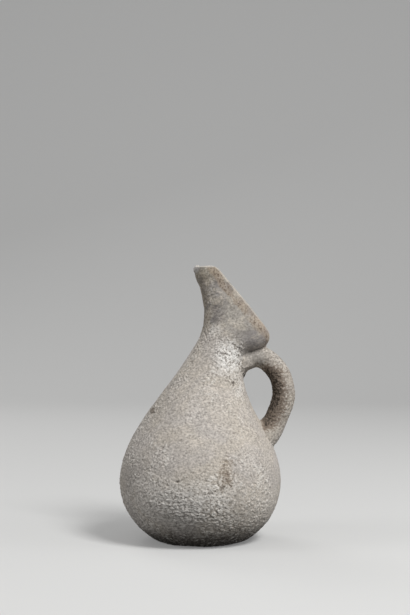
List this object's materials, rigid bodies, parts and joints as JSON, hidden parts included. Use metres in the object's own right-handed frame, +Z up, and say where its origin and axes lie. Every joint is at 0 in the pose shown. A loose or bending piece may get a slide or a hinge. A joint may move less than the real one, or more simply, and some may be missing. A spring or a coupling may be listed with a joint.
{
  "type": "beaked jug",
  "caption": "Pear-shaped earthenware jug with a flat base, a leaning neck, a rising cut-away beak with a slanting mouth, and a round roll handle for two fingers; it holds and pours liquid.",
  "frame": {"origin": "middle of the flat base, on the belly's axis, at the surface that the jug stands on", "axes": "+Z up along the belly's axis, +X towards the handle; the beak rises on the side away from the handle, and both sides of the XZ plane are alike"},
  "size_m": [0.1343, 0.1234, 0.2101],
  "materials": {
    "encrusted_clay": "unglazed grey-buff earthenware under a gritty pale mineral crust, matte",
    "bare_clay": "smoothed, unglazed grey-brown earthenware with pale patches and a warmer edge, matte",
    "handle_clay": "unglazed grey-buff earthenware, gritty, darker on the inner side, matte"
  },
  "bodies": {
    "root": {"base_disc": "encrusted_clay", "belly_coil_1": "encrusted_clay", "belly_coil_2": "encrusted_clay", "belly_coil_3": "encrusted_clay", "belly_coil_4": "encrusted_clay", "belly_coil_5": "encrusted_clay", "peg_coil": "encrusted_clay", "shoulder_coil_1": "encrusted_clay", "shoulder_coil_2": "encrusted_clay", "neck": "encrusted_clay", "spout_collar": "bare_clay", "spout_beak": "bare_clay", "handle": "handle_clay", "upper_root_roll": "handle_clay", "lower_root_roll": "handle_clay"}
  },
  "joints": []
}
